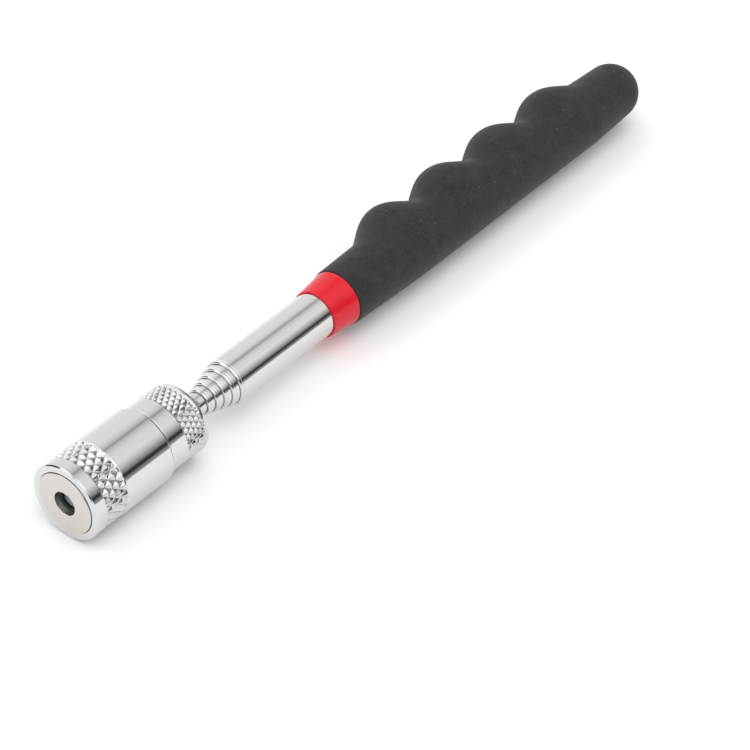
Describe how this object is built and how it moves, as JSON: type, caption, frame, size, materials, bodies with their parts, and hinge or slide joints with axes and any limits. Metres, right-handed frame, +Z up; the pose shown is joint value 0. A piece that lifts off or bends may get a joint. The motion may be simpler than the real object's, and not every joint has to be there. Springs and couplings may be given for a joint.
{
  "type": "telescopic magnetic pick-up tool",
  "caption": "Telescopic magnetic pick-up tool with a knurled lamp head, nested chrome tubes, a red collar and a black foam grip with finger humps.",
  "frame": {"origin": "centre of the magnet's flat face, on the tool's axis", "axes": "+X runs along the tool from the magnet face to the closed end of the grip; +Z is up as the tool lies on its side, with its finger humps 32 degrees above +Y"},
  "size_m": [0.2191, 0.0223, 0.0209],
  "materials": {
    "chrome_plate": "bright plated, knurled bands",
    "chrome_tube": "bright drawn tube with faint lengthwise lines",
    "nickel": "warm satin nickel plate",
    "steel": "plain",
    "cell_can": "satin can",
    "black_plastic": "moulded",
    "lamp_resin": "clear resin",
    "board": "coated board",
    "brass": "turned",
    "seal_rubber": "matte",
    "red_plastic": "gloss",
    "foam": "matte closed-cell foam"
  },
  "bodies": {
    "handle": {"outer_tube": "chrome_tube", "tube_plug": "black_plastic", "collar": "red_plastic", "grip": "foam"},
    "rod_1": {"tube_1": "chrome_tube", "bush_1": "brass"},
    "rod_2": {"tube_2": "chrome_tube", "bush_2": "brass"},
    "rod_3": {"tube_3": "chrome_tube", "bush_3": "brass"},
    "rod_4": {"tube_4": "chrome_tube", "bush_4": "brass"},
    "tip_slide": {"tip_bush": "brass"},
    "tip_rod": {"tip_tube": "chrome_tube", "stem": "brass", "stem_rivet": "steel", "stem_clip": "steel", "rear_cap": "chrome_plate", "rear_spring": "steel", "neck_o_ring": "seal_rubber"},
    "battery_pack": {"battery_sleeve": "black_plastic", "cell_1": "cell_can", "cell_2": "cell_can", "cell_3": "cell_can"},
    "head": {"head_sleeve": "chrome_plate", "magnet_ring": "nickel", "pole_plate": "steel", "led_holder": "black_plastic", "led_lamp": "lamp_resin", "lamp_board": "board", "lamp_contact": "brass"}
  },
  "joints": [
    {"name": "rod_1_draw", "type": "slide", "parent": "handle", "child": "rod_1", "axis": [-1, 0, 0], "range_m": [0, 0.126]},
    {"name": "rod_2_draw", "type": "slide", "parent": "rod_1", "child": "rod_2", "axis": [-1, 0, 0], "range_m": [0, 0.126]},
    {"name": "rod_3_draw", "type": "slide", "parent": "rod_2", "child": "rod_3", "axis": [-1, 0, 0], "range_m": [0, 0.126]},
    {"name": "rod_4_draw", "type": "slide", "parent": "rod_3", "child": "rod_4", "axis": [-1, 0, 0], "range_m": [0, 0.126]},
    {"name": "tip_draw", "type": "slide", "parent": "rod_4", "child": "tip_slide", "axis": [-1, 0, 0], "range_m": [0, 0.126]},
    {"name": "head_swivel", "type": "hinge", "parent": "tip_slide", "child": "tip_rod", "pos_m": [0.1, 0, 0], "axis": [-1, 0, 0], "continuous": true},
    {"name": "thread_travel", "type": "slide", "parent": "tip_rod", "child": "battery_pack", "axis": [-1, 0, 0], "range_m": [-0.00025, 0.00375]},
    {"name": "head_twist", "type": "hinge", "parent": "battery_pack", "child": "head", "pos_m": [0.02, 0, 0], "axis": [-1, 0, 0], "range_deg": [-121, 1801]}
  ],
  "couplings": [
    {"joint": "head_twist", "follows": "thread_travel", "rad_per_m": 8377.6}
  ]
}
